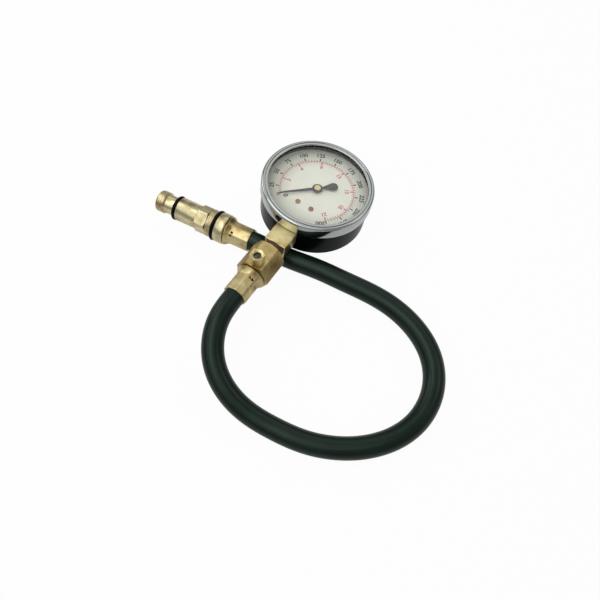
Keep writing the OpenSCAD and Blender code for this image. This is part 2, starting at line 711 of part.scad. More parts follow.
module socket() color(brass) gauge_pose() difference() {
    union() {
        translate([-block_w / 2, -block_end, -block_t / 2]) cube([block_w, block_end - block_in, block_t]);
        translate([-block_w / 2, -block_in - over, -block_t / 2])
            cube([block_w, block_in + over + tongue_past, tongue_t]);
        for (s = [-1, 1]) translate([s * dial_screw_at[0], dial_screw_at[1], 0])
            cylinder(d = boss_d, h = dial_low);
        for (y = case_screw_y) translate([0, -y, case_floor]) cylinder(d = foot_d, h = -case_floor);
        rotate([90, 0, 0]) translate([0, 0, block_end - over]) cylinder(d = block_t - over, h = 2 * over);
        rotate([90, 0, 0]) translate([0, 0, block_end]) cylinder(d = thread_d, h = stem_end - block_end);
    }
    translate([-block_w, -block_in, back_low]) cube([2 * block_w, block_in + 2 * thread_d, thread_d]);
    rotate([90, 0, 0]) translate([0, 0, tube_r]) cylinder(d = passage_d, h = stem_end);
    translate([root_in - block_w / 2, -tube_r, 0]) rotate([0, 90, 0])
        cylinder(d = passage_d / 2, h = block_w / 2);
    tube_arc(200, root_a + 0.1) stadium(tube_w + 2 * fit, tube_tall + 2 * fit);
    for (s = [-1, 1]) translate([s * dial_screw_at[0], dial_screw_at[1], dial_low - dial_screw_len])
        cylinder(d = screw_d + 2 * fit, h = dial_screw_len + over);
    for (y = case_screw_y) translate([0, -y, -stem_h])
        cylinder(d = screw_d + 2 * fit, h = stem_h + gap - screw_d);
    rotate(pivot_a) for (p = base_screw_at) translate([p[0], p[1], -block_t / 2 - over])
        cylinder(d = screw_d + 2 * fit, h = tongue_t + 2 * over);
}

module case_screws() color(steel) gauge_pose() for (y = case_screw_y)
    translate([0, -y, -stem_h]) intersection() {
        back_screw();
        cylinder(d = 3 * screw_d, h = stem_h - screw_d);
    }

module tee_body() color(brass) on_stem(tee_start) difference() {
    union() {
        hex_bar(tee_af, tee_len);
        cylinder(d = neck_d, h = tee_len + flange_t);
        translate([0, 0, tee_len + flange_t - fit]) barb();
    }
    translate([0, 0, -over]) cylinder(d = thread_d + 2 * fit, h = thread_len + gap + over);
    cylinder(d = passage_d, h = tee_len + flange_t + barb_len + over);
    translate([0, tee_af / 2 - port_depth, tee_len - valve_in]) rotate([-90, 0, 0])
        cylinder(d = valve_shank_d + 2 * fit, h = port_depth + over);
    translate([0, 0, tee_len - valve_in]) rotate([-90, 0, 0]) cylinder(d = passage_d / 2, h = tee_af / 2);
}

module release_body() color(brass) on_valve() difference() {
    union() {
        rotate(30) hex_bar(valve_af, valve_h, false);
        translate([0, 0, -valve_shank]) cylinder(d = valve_shank_d, h = valve_shank + valve_h / 2);
    }
    translate([0, 0, valve_floor]) cylinder(d = recess_d, h = valve_h);
    translate([0, 0, -valve_shank - over]) cylinder(d = pin_d + 2 * run_fit, h = valve_h);
}

seal_low = -valve_shank - seal_gap - seal_t;
module release_pin() color(steel) on_valve() {
    translate([0, 0, seal_low - pin_button]) cylinder(d = pin_button_d, h = pin_button - fit);
    translate([0, 0, seal_low - pin_button]) cylinder(d = pin_d, h = pin_head_z + pin_button - seal_low);
    translate([0, 0, pin_head_z]) rotate_extrude() polygon(concat([[0, 0], [pin_head_r, 0]],
        arc([pin_head_r - pin_round, pin_head_t - pin_round], pin_round, 0, 90, 4),
        [[0, pin_head_t + pin_crown]]));
}
module release_seal() color(rubber) on_valve() translate([0, 0, seal_low]) difference() {
    cylinder(d = seal_d, h = seal_t);
    translate([0, 0, -over]) cylinder(d = pin_d + 2 * fit, h = seal_t + 2 * over);
}
module release_spring() color(steel) on_valve()
    sweep(helix(pin_d / 2 + gap + spring_off, valve_floor + spring_off, pin_head_z - spring_off, 3),
        spring_wire_r);

module ferrule_gauge() color(brass) on_stem(tee_end) ferrule();

hose_route = concat(
    [for (i = [-1 : 3]) stem_point(mouth + (i / 2 - 1) * hose_in)],
    [for (p = route) [p[0], p[1], p[2] + lie]],
    [for (i = [-1 : 3]) far_point(i / 2 * hose_in)]);
module hose() color(rubber)
    sweep(smooth_path(hose_route, hose_steps), hose_od / 2, hose_id / 2 / cos(180 / hose_sides),
        hose_sides);

module ferrule_far() color(brass) on_far(ferrule_len) rotate([180, 0, 0]) ferrule();

// Hose end: barb, collar, groove for the ring and the larger thread, with a threaded hole for the adapter
module end_fitting() color(brass) on_far() difference() {
    union() {
        translate([0, 0, collar_s - flange_t + fit]) rotate([180, 0, 0]) barb();
        translate([0, 0, collar_s - flange_t]) cylinder(d = neck_d, h = flange_t + over);
        translate([0, 0, collar_s]) rotate_extrude() let (r = collar_d / 2, c = collar_chamfer)
            polygon([[0, 0], [r - c, 0], [r, c], [r, collar_len - c], [r - c, collar_len],
                [0, collar_len]]);
        translate([0, 0, collar_s]) cylinder(r = ring18_r - ring_wire / 2 - fit, h = part_s - collar_s);
        translate([0, 0, thread18_s]) cylinder(d = thread18_d, h = thread18_len);
    }
    translate([0, 0, stud_s - gap]) cylinder(d = stud_d + 2 * run_fit, h = stud_len + over);
    translate([0, 0, collar_s - ferrule_len]) cylinder(d = passage_d, h = part_s);
}

module o_ring_18() color(rubber) on_far(ring18_s) sealing_ring(ring18_r);

// Adapter: stud, hexagon, barrel, ring seat, relief and the smaller thread
module adapter_14() color(brass) on_far() difference() {
    union() {
        translate([0, 0, stud_s]) cylinder(d = stud_d, h = stud_len + over);
        translate([0, 0, hex_s]) hex_bar(adapter_af, hex_len);
        translate([0, 0, barrel_s - over]) cylinder(d = barrel_d, h = barrel_len + over);
        translate([0, 0, barrel_s]) cylinder(r = seat14_r, h = thread14_s - barrel_s);
        translate([0, 0, relief_s]) cylinder(d = relief_d, h = relief_len + over);
        translate([0, 0, thread14_s]) rotate_extrude() polygon([[0, 0], [relief_d / 2, 0],
            [thread14_d / 2, chamfer / 2], [thread14_d / 2, thread14_len - chamfer],
            [thread14_d / 2 - chamfer, thread14_len], [0, thread14_len]]);
    }
    translate([0, 0, stud_s - over]) cylinder(d = passage_d, h = tip_s);
    translate([0, 0, core_chamber_s]) cylinder(d = core_d + 2 * fit, h = tip_s);
}

module o_ring_14() color(rubber) on_far(ring14_s) sealing_ring(ring14_r);

module core_body() color(brass) on_far() difference() {
    translate([0, 0, core_s]) cylinder(d = core_d, h = core_len);
    translate([0, 0, core_s - over]) cylinder(d = core_bore_d, h = core_len + 2 * over);
    translate([0, 0, core_tip_s - core_well]) cylinder(d = core_well_d, h = core_well + over);
}
module core_pin() color(steel) on_far() {
    translate([0, 0, core_pin_s]) cylinder(d = core_pin_d, h = core_tip_s - core_end - core_pin_s);
    translate([0, 0, core_seal_s - core_cap_t]) cylinder(d = core_collar_d, h = core_cap_t - fit);
    translate([0, 0, core_collar_s]) cylinder(d = core_collar_d, h = core_collar_t);
}
module core_seal() color(rubber) on_far(core_seal_s) difference() {
    cylinder(d = core_seal_d, h = seal_t);
    translate([0, 0, -over]) cylinder(d = core_pin_d + 2 * fit, h = seal_t + 2 * over);
}
module core_spring() color(steel) on_far()
    sweep(helix(core_pin_d / 2 + 2 * gap, core_tip_s - core_well + spring_off, core_collar_s - spring_off, 3),
        core_wire_r);

gauge_case();
bezel_ring();
lens();
lens_gasket();
dial_plate();
dial_screws();
pointer();
pointer_hub();
pinion_arbor();
hairspring_collet();
hairspring();
hairspring_stud();
sector_gear();
sector_arbor();
tail_pin();
link();
tip_pin();
tube_tip();
bourdon_tube();
movement_back_plate();
movement_front_plate();
movement_pillars();
movement_screws();
socket();
case_screws();
tee_body();
release_body();
release_pin();
release_seal();
release_spring();
ferrule_gauge();
hose();
ferrule_far();
end_fitting();
o_ring_18();
adapter_14();
o_ring_14();
core_body();
core_pin();
core_seal();
core_spring();
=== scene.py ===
import json
import math

import bmesh
import bpy
import numpy as np
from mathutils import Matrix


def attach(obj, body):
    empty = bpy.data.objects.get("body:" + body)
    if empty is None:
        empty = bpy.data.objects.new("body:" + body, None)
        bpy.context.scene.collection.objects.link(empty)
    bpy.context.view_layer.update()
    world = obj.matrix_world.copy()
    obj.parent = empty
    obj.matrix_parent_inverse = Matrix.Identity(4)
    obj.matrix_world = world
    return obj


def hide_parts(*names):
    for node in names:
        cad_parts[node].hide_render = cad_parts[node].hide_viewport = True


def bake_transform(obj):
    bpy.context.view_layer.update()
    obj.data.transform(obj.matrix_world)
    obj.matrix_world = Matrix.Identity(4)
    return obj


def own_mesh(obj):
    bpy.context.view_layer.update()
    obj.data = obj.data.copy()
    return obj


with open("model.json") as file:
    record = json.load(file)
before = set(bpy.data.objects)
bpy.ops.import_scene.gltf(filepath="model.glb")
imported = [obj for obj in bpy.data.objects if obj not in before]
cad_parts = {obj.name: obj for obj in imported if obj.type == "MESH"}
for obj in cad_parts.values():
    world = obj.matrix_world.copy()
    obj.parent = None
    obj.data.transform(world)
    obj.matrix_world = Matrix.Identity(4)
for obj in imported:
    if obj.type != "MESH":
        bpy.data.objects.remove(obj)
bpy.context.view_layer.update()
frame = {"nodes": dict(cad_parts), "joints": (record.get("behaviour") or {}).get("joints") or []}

# The view: a plain lens above and to the right of the gauge, with the loop of hose towards it.
# It looks at a point on the floor inside the loop. Lengths are in mm, the lens in pixels of the picture.
look_at = np.array([25.4, -33.9, 0.0])
view_turn, view_rise, view_far = math.radians(32.16), math.radians(63.0), 352.0
sensor, lens_px, picture_px = 36.0, 572, 600
away = np.array([math.sin(view_turn) * math.cos(view_rise), -math.cos(view_turn) * math.cos(view_rise),
                 math.sin(view_rise)])
camera = bpy.data.objects.new("camera", bpy.data.cameras.new("camera"))
camera.data.sensor_width, camera.data.lens = sensor, sensor * lens_px / picture_px
camera.location = (look_at + view_far * away) / 1000
camera.rotation_euler = (math.pi / 2 - view_rise, 0, view_turn)
bpy.context.scene.collection.objects.link(camera)
bpy.context.scene.camera = camera

# End fitting: a turned brass hose end with a barbed tail, a round collar, a groove for a sealing ring
# and a short 18 mm thread. Its hole takes the adapter's stud. Stations are in mm from the ferrule's mouth.
joints = {j["name"]: j for j in frame["joints"]}
far_at = np.array(joints["adapter_screw"]["pos_m"]) * 1000
far_along = np.array(joints["adapter_screw"]["axis"])
far_up = np.array([0.0, 0.0, 1.0]) - far_along[2] * far_along
far_up /= np.linalg.norm(far_up)
around = np.radians(np.arange(0, 360, 3.75))


def turned(at, along, up, profile, angle):
    """Rows of points round an axis: for each pair (station, radius) of the profile, the point at that
    station and radius at every angle, counted from the side towards up. Pairs may differ by angle."""
    s, r = (np.broadcast_to(np.asarray(v, float)[:, None] if np.ndim(v) == 1 else v,
                            (len(v), len(angle))) for v in profile)
    ray = np.cos(angle)[:, None] * np.cross(along, up) + np.sin(angle)[:, None] * up
    return (at + s[..., None] * along + r[..., None] * ray) / 1000


def skin(name, *grids, shut=True, sharp=35):
    """One mesh over grids of points, rows by columns: each cell is a quad, the columns close round, and the
    last row joins the first where shut. The UV map is the turn, 0 to 1, by the run along the rows in mm."""
    points, quads, maps, start = [], [], [], 0
    for grid in grids:
        grid = np.concatenate([grid, grid[:1]]) if shut else grid
        rows, cols = grid.shape[:2]
        i, j = np.mgrid[0:rows - 1, 0:cols]
        near, far, step = i * cols, (i + 1) * cols, (j + 1) % cols
        quads.append(start + np.stack([near + j, near + step, far + step, far + j], -1).reshape(-1, 4))
        run = np.linalg.norm(np.diff(grid, axis=0), axis=2).mean(1).cumsum() * 1000
        run = np.concatenate([[0.0], run])[np.stack([i, i, i + 1, i + 1], -1)]
        maps.append(np.stack([np.stack([j, j + 1, j + 1, j], -1) / cols, run], -1).reshape(-1))
        points.append(grid.reshape(-1, 3))
        start += rows * cols
    mesh = bpy.data.meshes.new(name)
    mesh.from_pydata(np.concatenate(points).tolist(), [], np.concatenate(quads).tolist())
    mesh.uv_layers.new(name="turn").data.foreach_set("uv", np.concatenate(maps))
    work = bmesh.new()
    work.from_mesh(mesh)
    bmesh.ops.remove_doubles(work, verts=work.verts, dist=1e-7)
    bmesh.ops.recalc_face_normals(work, faces=work.faces)
    work.to_mesh(mesh)
    work.free()
    mesh.shade_smooth()
    mesh.set_sharp_from_angle(angle=math.radians(sharp))
    piece = bpy.data.objects.new(name, mesh)
    bpy.context.scene.collection.objects.link(piece)
    return piece


def thread(low, high, crest, depth, pitch, angle, lead_in=0.5):
    """Stations and radii of an outside thread: the radius falls from the crest by a rounded wave of the
    pitch, which goes once along for each turn round, and fades over the first and last part of a pitch."""
    s = np.linspace(low, high, int((high - low) / pitch * 10) + 1)[:, None]
    wave = 0.5 - 0.5 * np.cos(2 * np.pi * (s / pitch - angle / (2 * np.pi)))
    ends = np.clip(np.minimum(s - low, high - s) / (lead_in * pitch), 0, 1)
    return s + 0 * angle, crest - depth * ends * wave ** 0.8


def stack(angle, *parts):
    """Joins lists of (station, radius) pairs and wavy bands of them into one profile, row below row."""
    rows = [np.broadcast_to(np.array(p, float).T[..., None], (2, len(p), len(angle)))
            if isinstance(p, list) else np.stack(p) for p in parts]
    return np.concatenate(rows, 1)


barb_ridges = [(s + d, r) for s in (4.8, 8.3, 11.8) for d, r in ((-3.4, 3.03), (-0.1, 3.12), (0.0, 3.03))]
tail = [(1.3, 2.0)] + barb_ridges + [(15.3, 3.03), (15.3, 5.0), (16.9, 5.0)]
collar = [(16.9, 8.9), (17.1, 9.3), (17.5, 9.6), (18.0, 9.7), (22.9, 9.7), (23.35, 9.45), (23.5, 9.2)]
groove = [(23.5, 7.57), (25.96, 7.57), (25.96, 8.2)]
hole = [(29.7, 8.6), (30.16, 7.7), (30.16, 5.3), (29.9, 5.05), (20.96, 5.05), (20.96, 2.0)]
plug_18 = thread(low=26.0, high=29.5, crest=9.0, depth=0.2, pitch=1.5, angle=around)
end_fitting = skin("end_fitting_turned", turned(
    far_at, far_along, far_up, stack(around, tail + collar + groove, plug_18, hole), around))


def linear(hex_colour):
    """An sRGB hex colour as linear red, green, blue and alpha 1, channel by channel on the sRGB curve."""
    c = np.array([int(hex_colour[k:k + 2], 16) for k in (1, 3, 5)]) / 255
    return (*np.where(c <= 0.04045, c / 12.92, ((c + 0.055) / 1.055) ** 2.4), 1.0)


def node(tree, kind, sockets=None, stops=(), **settings):
    """Adds a node to a material with its settings, sets each socket to a value or links it to a source, and
    gives a colour ramp its stops, each a position and a hex colour, of which the first two rise."""
    made = tree.nodes.new(kind)
    for key, value in settings.items():
        setattr(made, key, value)
    for key, value in (sockets or {}).items():
        if isinstance(value, bpy.types.NodeSocket):
            tree.links.new(value, made.inputs[key])
        else:
            made.inputs[key].default_value = value
    for k, (position, colour) in enumerate(stops):
        stop = made.color_ramp.elements[k] if k < 2 else made.color_ramp.elements.new(position)
        stop.position, stop.color = position, linear(colour)
    return made


def finish(name):
    """A new empty material and its node tree."""
    made = bpy.data.materials.new(name)
    made.use_nodes = True
    made.node_tree.nodes.clear()
    return made, made.node_tree


def brass(name, tarnish, dark, bright, smooth, coarse, grain, on_turn):
    """A brass finish: clouds of three tints, 6 mm across, which are also smoother or coarser, and a fine
    grain stretched by three scales, on the turn and run of the piece or else on its own place."""
    made, tree = finish(name)
    place = node(tree, "ShaderNodeTexCoord")
    turn = node(tree, "ShaderNodeUVMap", uv_map="turn")
    cloud = node(tree, "ShaderNodeTexNoise", {
        "Vector": place.outputs["Object"], "Scale": 1000 / 6, "Detail": 3})
    tint = node(tree, "ShaderNodeValToRGB", {"Fac": cloud.outputs["Fac"]},
                stops=((0.4, dark), (0.62, bright), (0.28, tarnish)))
    rough = node(tree, "ShaderNodeMapRange", {
        "Value": cloud.outputs["Fac"], "To Min": coarse, "To Max": smooth})
    stretch = node(tree, "ShaderNodeMapping", {
        "Vector": turn.outputs["UV"] if on_turn else place.outputs["Object"], "Scale": grain})
    lines = node(tree, "ShaderNodeTexNoise", {"Vector": stretch.outputs["Vector"], "Scale": 1, "Detail": 2})
    bump = node(tree, "ShaderNodeBump", {
        "Height": lines.outputs["Fac"], "Strength": 0.08, "Distance": 0.00003})
    shader = node(tree, "ShaderNodeBsdfPrincipled", {
        "Base Color": tint.outputs["Color"], "Roughness": rough.outputs["Result"], "Metallic": 1.0,
        "Normal": bump.outputs["Normal"]})
    node(tree, "ShaderNodeOutputMaterial", {"Surface": shader.outputs["BSDF"]})
    return made


def touch_up(piece, material, chosen):
    """Gives a second finish to the faces of a piece whose middles, in mm, the rule chooses."""
    middle = np.zeros(len(piece.data.polygons) * 3)
    piece.data.polygons.foreach_get("center", middle)
    piece.data.materials.append(material)
    piece.data.polygons.foreach_set("material_index", chosen(middle.reshape(-1, 3) * 1000).astype(np.int32))


# Brass turned on a lathe: pale, satin bright, with fine rings from the tool, 0.4 mm apart.
lathe_rings = (0.6, 1 / 0.4, 1)
turned_brass = brass("turned_brass", "#9a7d58", "#beb186", "#d8cea8", smooth=0.27, coarse=0.34,
                     grain=lathe_rings, on_turn=True)
# Threads are handled and screwed home most, so they are browner than the rest.
handled_brass = brass("handled_brass", "#86694a", "#b2a077", "#ccbe97", smooth=0.3, coarse=0.38,
                      grain=lathe_rings, on_turn=True)
thread_18_from = 25.97
end_fitting.data.materials.append(turned_brass)
touch_up(end_fitting, handled_brass, lambda p: (p - far_at) @ far_along > thread_18_from)
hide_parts("end_fitting")
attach(end_fitting, "root")

# Sealing rings: two black nitrile rings, moulded, one in front of the collar and one between the adapter's
# barrel and relief. Each is stretched into its groove, and the smaller one moves out with the adapter.
hoop = np.radians(np.arange(0, 360, 15))
ring_thick = 1.2


def grained(name, colour, grain_mm, smooth, coarse, detail=2, relief=None, sockets=None):
    """A finish of one colour with a grain of a size in mm that makes it smoother or coarser and, where the
    relief gives a strength and a depth in metres, bumps it too. Other sockets of the shader may be set."""
    made, tree = finish(name)
    place = node(tree, "ShaderNodeTexCoord")
    grain = node(tree, "ShaderNodeTexNoise", {
        "Vector": place.outputs["Object"], "Scale": 1000 / grain_mm, "Detail": detail})
    rough = node(tree, "ShaderNodeMapRange", {
        "Value": grain.outputs["Fac"], "To Min": smooth, "To Max": coarse})
    look = {"Base Color": linear(colour), "Roughness": rough.outputs["Result"], **(sockets or {})}
    if relief:
        look["Normal"] = node(tree, "ShaderNodeBump", {
            "Height": grain.outputs["Fac"], "Strength": relief[0], "Distance": relief[1]}).outputs["Normal"]
    shader = node(tree, "ShaderNodeBsdfPrincipled", look)
    node(tree, "ShaderNodeOutputMaterial", {"Surface": shader.outputs["BSDF"]})
    return made


# Moulded nitrile: dead black, with a faint soft sheen.
nitrile = grained("moulded_nitrile", "#080908", 0.5, smooth=0.38, coarse=0.52, relief=(0.2, 0.00003),
                  sockets={"Specular IOR Level": 0.1})
for name, station, mid, body in (
        ("o_ring_18", 24.73, 8.8, "root"), ("o_ring_14", 53.69, 6.9, "adapter_ring")):
    ring = skin(name + "_moulded", turned(far_at, far_along, far_up, (
        station + ring_thick * np.sin(hoop), mid + ring_thick * np.cos(hoop)), around))
    ring.data.materials.append(nitrile)
    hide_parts(name)
    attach(ring, body)

# Adapter: turned brass with a threaded stud, a hexagon for the spanner, a barrel, a relief and the 14 mm
# thread. It screws into the end fitting and carries the check valve in its tip.
nut_step = np.radians([-30, -29.2, -28.2, -26.5, -23, -18, -12, -6, 0, 6, 12, 18, 23, 26.5, 28.2, 29.2])


def six_sides(flat_at):
    """The angles of the columns round a hexagonal bar, closer together at its corners."""
    return (np.radians(flat_at) + np.add.outer(np.radians(np.arange(0, 360, 60)), nut_step)).ravel()


def hexagon(low, high, width, angle, flat_at, coned=True, worn=0.12):
    """Stations and radii of a hexagonal bar: the flats lie at half the width over the cosine of the angle
    from the flat's middle, and the corners are worn a little. Where coned, a 30 degree cone takes the
    corners off both ends, and otherwise the ends have small even chamfers."""
    off = (angle - math.radians(flat_at) + math.pi / 6) % (math.pi / 3) - math.pi / 6
    flat = width / 2 / np.cos(off)
    flat = np.minimum(flat, width / 2 / math.cos(math.pi / 6) - worn)
    cone = (flat - width / 2) * math.tan(math.pi / 6)
    even = 0 * flat
    if coned:
        rows = [(low + even, width / 2 - 0.15 + even), (low + cone + 0.05, flat),
                (high - cone - 0.05, flat), (high + even, width / 2 - 0.15 + even)]
    else:
        rows = [(low + even, flat - 0.1), (low + 0.1 + even, flat),
                (high - 0.25 + even, flat), (high + even, flat - 0.25)]
    return tuple(np.stack([pair[k] for pair in rows]) for k in (0, 1))


six = six_sides(0)
stud = thread(low=21.3, high=29.9, crest=5.0, depth=0.6, pitch=1.5, angle=six)
nut = hexagon(low=30.26, high=38.06, width=15.5, angle=six, flat_at=0)
barrel = [(38.06, 7.55), (38.2, 7.7), (51.9, 7.7), (52.3, 7.5), (52.46, 7.2)]
relief = [(52.46, 5.67), (54.92, 5.67), (54.92, 5.95), (55.1, 6.1), (60.9, 6.1), (61.4, 6.4)]
plug_14 = thread(low=61.9, high=66.3, crest=7.0, depth=0.1, pitch=1.5, angle=six, lead_in=0.8)
tip = [(66.8, 6.86), (67.3, 6.5), (67.6, 6.0), (67.72, 5.4), (67.72, 2.9), (67.5, 2.63), (45.72, 2.63),
       (45.72, 2.0)]
adapter = skin("adapter_turned", turned(far_at, far_along, far_up, stack(
    six, [(21.26, 2.0), (21.26, 4.3)], stud, [(30.26, 4.3), (30.26, 6.9)], nut, barrel + relief, plug_14,
    tip), six))
thread_14_from = 61.6
adapter.data.materials.append(turned_brass)
touch_up(adapter, handled_brass, lambda p: (p - far_at) @ far_along > thread_14_from)
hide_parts("adapter_14")
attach(adapter, "adapter")

# Check valve: a small brass core with a steel pin, a sealing disc and a wire spring, pressed into the
# adapter. It lets air in and holds the highest reading until the release valve is pressed.
even_grain = (2500, 2500, 2500)
# Milled brass: yellower than the turned pieces, satin, with an even fine grain of 0.4 mm.
plain_brass = brass("milled_brass", "#a08a5c", "#c6b583", "#dacc98", smooth=0.29, coarse=0.37,
                    grain=even_grain, on_turn=False)
# Ground steel: a light cool grey, satin, with a very fine grain.
bright_steel = grained("ground_steel", "#c4c6c8", 0.3, smooth=0.22, coarse=0.34, relief=(0.1, 0.00002),
                       sockets={"Metallic": 1.0})


def dress(material, *names):
    """Gives CAD nodes a material in place of the one that they came with."""
    for name in names:
        slots = frame["nodes"][name].data.materials
        slots.clear()
        slots.append(material)


def coil(name, at, along, up, low, high, r, wire, turns=3):
    """A wound spring: a circle of the wire's radius goes round the axis at radius r and climbs evenly from
    the low station to the high one, and shrinks to a point at both ends."""
    a = np.linspace(0, 2 * np.pi * turns, 16 * turns + 1)
    thick = np.concatenate([[0.0], np.full(len(a), wire), [0.0]])
    a = np.concatenate([a[:1], a, a[-1:]])
    h = np.radians(np.arange(0, 360, 45))[:, None]
    climb = low + (high - low) * a / a[-1]
    rows = turned(at, along, up, (climb + thick * np.sin(h), r + thick * np.cos(h)), a)
    return skin(name, rows.transpose(1, 0, 2), shut=False)


dress(plain_brass, "core_body")
dress(bright_steel, "core_pin")
dress(nitrile, "core_seal")
core_coil = coil("core_spring_wound", far_at, far_along, far_up, low=59.97, high=63.47, r=1.15, wire=0.18)
core_coil.data.materials.append(bright_steel)
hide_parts("core_spring")
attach(core_coil, "adapter")
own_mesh(core_coil)

# Ferrules: brass sleeves crimped on the hose by an eight-jawed die, with a flared rim towards the fitting.
# The jaws leave eight flats, and pinch marks where the flats run out below the rim.
gauge_at = np.array(joints["pointer_spin"]["pos_m"]) * 1000
dial_up = np.array(joints["pointer_spin"]["axis"])
stem_along = np.array([0.0, -dial_up[2], dial_up[1]]) / math.hypot(dial_up[1], dial_up[2])
jaw = np.radians(np.arange(0, 360, 2.5))
# Drawn brass sheet, pressed: smooth and satin bright with faint lines along the sleeve.
pressed_brass = brass("pressed_brass", "#94784e", "#b5a270", "#cfc092", smooth=0.36, coarse=0.44,
                      grain=(90, 0.08, 1), on_turn=True)
# Painted shade fills the pinch marks: nearly black and dull.
pit_painted_shade = brass("painted_pit_shade_brass", "#1c150c", "#2a2012", "#3a2d1a", smooth=0.5, coarse=0.6,
                   grain=even_grain, on_turn=False)


def ferrule(name, at, along, up, pit_at):
    """A crimped sleeve from its rim to its mouth. The radius falls from a round rim to an octagon along a
    hollow curve, with a pair of small pits where the curve ends. A straight bore with a flange closes it."""
    half_flats, rim_r, mean_r = 7.1, 9.25, 7.5
    pit_s, pit_r, pit_depth, pit_off = 5.1, 0.55, 0.8, 8
    s = np.concatenate([[0.3, 0.4, 0.55, 0.75, 1.0], np.arange(1.2, 7.2, 0.2), np.linspace(7.4, 16.3, 10),
                        [16.5, 16.7, 16.85, 16.9]])[:, None]
    corner = (jaw - math.radians(22.5) + math.pi / 8) % (math.pi / 4) - math.pi / 8
    octagon = np.minimum(half_flats / np.cos(corner), half_flats / math.cos(math.pi / 8) - 0.25)
    flare = np.clip(1 - (s - 1.0) / 3.9, 0, 1) ** 1.9 * np.clip((s - 0.3) * 1.6 + 0.3, 0, 1) ** 0.5
    edge = 0.35 * np.clip((s - 16.5) / 0.4, 0, 1) ** 2
    pits = 0
    for d in (-pit_off, pit_off):
        turn = (jaw - math.radians(pit_at + d) + math.pi) % (2 * math.pi) - math.pi
        pits = pits + np.exp(-(turn * mean_r / pit_r) ** 4 - ((s - pit_s - 0.02 * d) / pit_r) ** 4)
    outside = octagon + (rim_r - octagon) * flare - edge - pit_depth * pits
    bore = [(16.9, 6.4), (1.6, 6.4), (1.6, 5.03), (0.0, 5.03), (0.0, 7.4), (0.3, 7.4)]
    made = skin(name, turned(at, along, up, stack(jaw, (s + 0 * jaw, outside), bore), jaw))
    made.data.materials.append(pressed_brass)
    pit_sides = np.radians([pit_at - pit_off, pit_at + pit_off])
    spots = turned(at, along, up, ([pit_s], [6.8]), pit_sides)[0] * 1000
    # The faces round the pits get the nearly black painted shade.
    touch_up(made, pit_painted_shade, lambda p: np.linalg.norm(p[:, None] - spots, axis=2).min(1) < 0.8)
    return made


far_rim, gauge_rim, gauge_mouth = 16.9, 71.9, 88.8
ferrule_far = ferrule("ferrule_far_pressed", far_at + far_rim * far_along, -far_along, far_up, pit_at=51)
ferrule_gauge = ferrule("ferrule_gauge_pressed", gauge_at + gauge_rim * stem_along, stem_along, dial_up,
                        pit_at=116)
for sleeve in (ferrule_far, ferrule_gauge):
    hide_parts(sleeve.name.removesuffix("_pressed"))
    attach(sleeve, "root")

# Hose: 12.7 mm black rubber, 381 mm from end to end, extruded and wrapped while it cures. It leaves the
# tee's ferrule, lies in one loop, passes under the gauge's block and goes into the far ferrule.
hose_r, hose_in, lie = 6.35, 15.0, 6.4
bends = np.array([
    (0, -80, 19), (4.5, -92, 16.6), (13, -102.5, 12.6), (26, -109.5, 7.4), (41, -111.5, 1.6),
    (56, -110.5, 0.2), (73, -108.5, 0), (88.5, -103, 0), (103, -94, 0), (115, -81, 0), (121.5, -66, 0),
    (122, -50, 0), (117, -35.5, 0), (107, -23.5, 0), (92.5, -15, 0), (76, -10.5, 0), (59.5, -10, 0),
    (43, -11.5, 0), (30.5, -12, 0), (19, -13.5, 0), (7.5, -15.5, 0), (-3, -17, 1)]) + (0, 0, lie)
halves = np.arange(-1, 4)[:, None] / 2
knots = np.concatenate([gauge_at + (gauge_mouth + (halves - 1) * hose_in) * stem_along, bends,
                        far_at + halves * hose_in * far_along])


def smooth_line(p, steps):
    """A uniform cubic B-spline along a list of points: each span blends four points in a row."""
    t = np.linspace(0, 1, steps, endpoint=False)[None, :, None]
    a, b, c, d = (p[k:len(p) - 3 + k, None] for k in range(4))
    span = ((1 - t) ** 3 * a + (3 * t ** 3 - 6 * t ** 2 + 4) * b
            + (-3 * t ** 3 + 3 * t ** 2 + 3 * t + 1) * c + t ** 3 * d) / 6
    return np.concatenate([span.reshape(-1, 3), [(p[-3] + 4 * p[-2] + p[-1]) / 6]])


line = smooth_line(knots, steps=8)
ahead = np.gradient(line, axis=0)
ahead /= np.linalg.norm(ahead, axis=1)[:, None]
beside = np.cross(ahead, (0, 0, 1))
beside /= np.linalg.norm(beside, axis=1)[:, None]
over = np.cross(beside, ahead)
girth = np.radians(np.arange(0, 360, 7.5))[None, :, None]
rows = line[:, None] + hose_r * (np.cos(girth) * beside[:, None] + np.sin(girth) * over[:, None])
first_end, last_end = (np.repeat(end[:, None], rows.shape[1], 1) for end in (line[:1], line[-1:]))
hose = skin("hose_wrapped", np.concatenate([first_end, rows, last_end]) / 1000, shut=False)
# Wrapped rubber: black with a green cast and a soft sheen, marked by the cloth and by faint dust.
cured_rubber, tree = finish("wrapped_rubber")
uv = node(tree, "ShaderNodeUVMap", uv_map="turn")
wrap = node(tree, "ShaderNodeMapping", {"Vector": uv.outputs["UV"], "Scale": (40 / 0.9, 1 / 1.6, 1)})
cloth = node(tree, "ShaderNodeTexNoise", {"Vector": wrap.outputs["Vector"], "Scale": 1, "Detail": 2})
place = node(tree, "ShaderNodeTexCoord")
dust = node(tree, "ShaderNodeTexNoise", {"Vector": place.outputs["Object"], "Scale": 1000 / 14, "Detail": 4})
tint = node(tree, "ShaderNodeValToRGB", {"Fac": dust.outputs["Fac"]},
            stops=((0.35, "#0c1812"), (0.7, "#122018")))
rough = node(tree, "ShaderNodeMapRange", {"Value": dust.outputs["Fac"], "To Min": 0.24, "To Max": 0.34})
bump = node(tree, "ShaderNodeBump", {"Height": cloth.outputs["Fac"], "Strength": 0.2, "Distance": 0.0001})
shader = node(tree, "ShaderNodeBsdfPrincipled", {
    "Base Color": tint.outputs["Color"], "Roughness": rough.outputs["Result"], "Specular IOR Level": 0.25,
    "Specular Tint": linear("#e6fff4"), "Normal": bump.outputs["Normal"]})
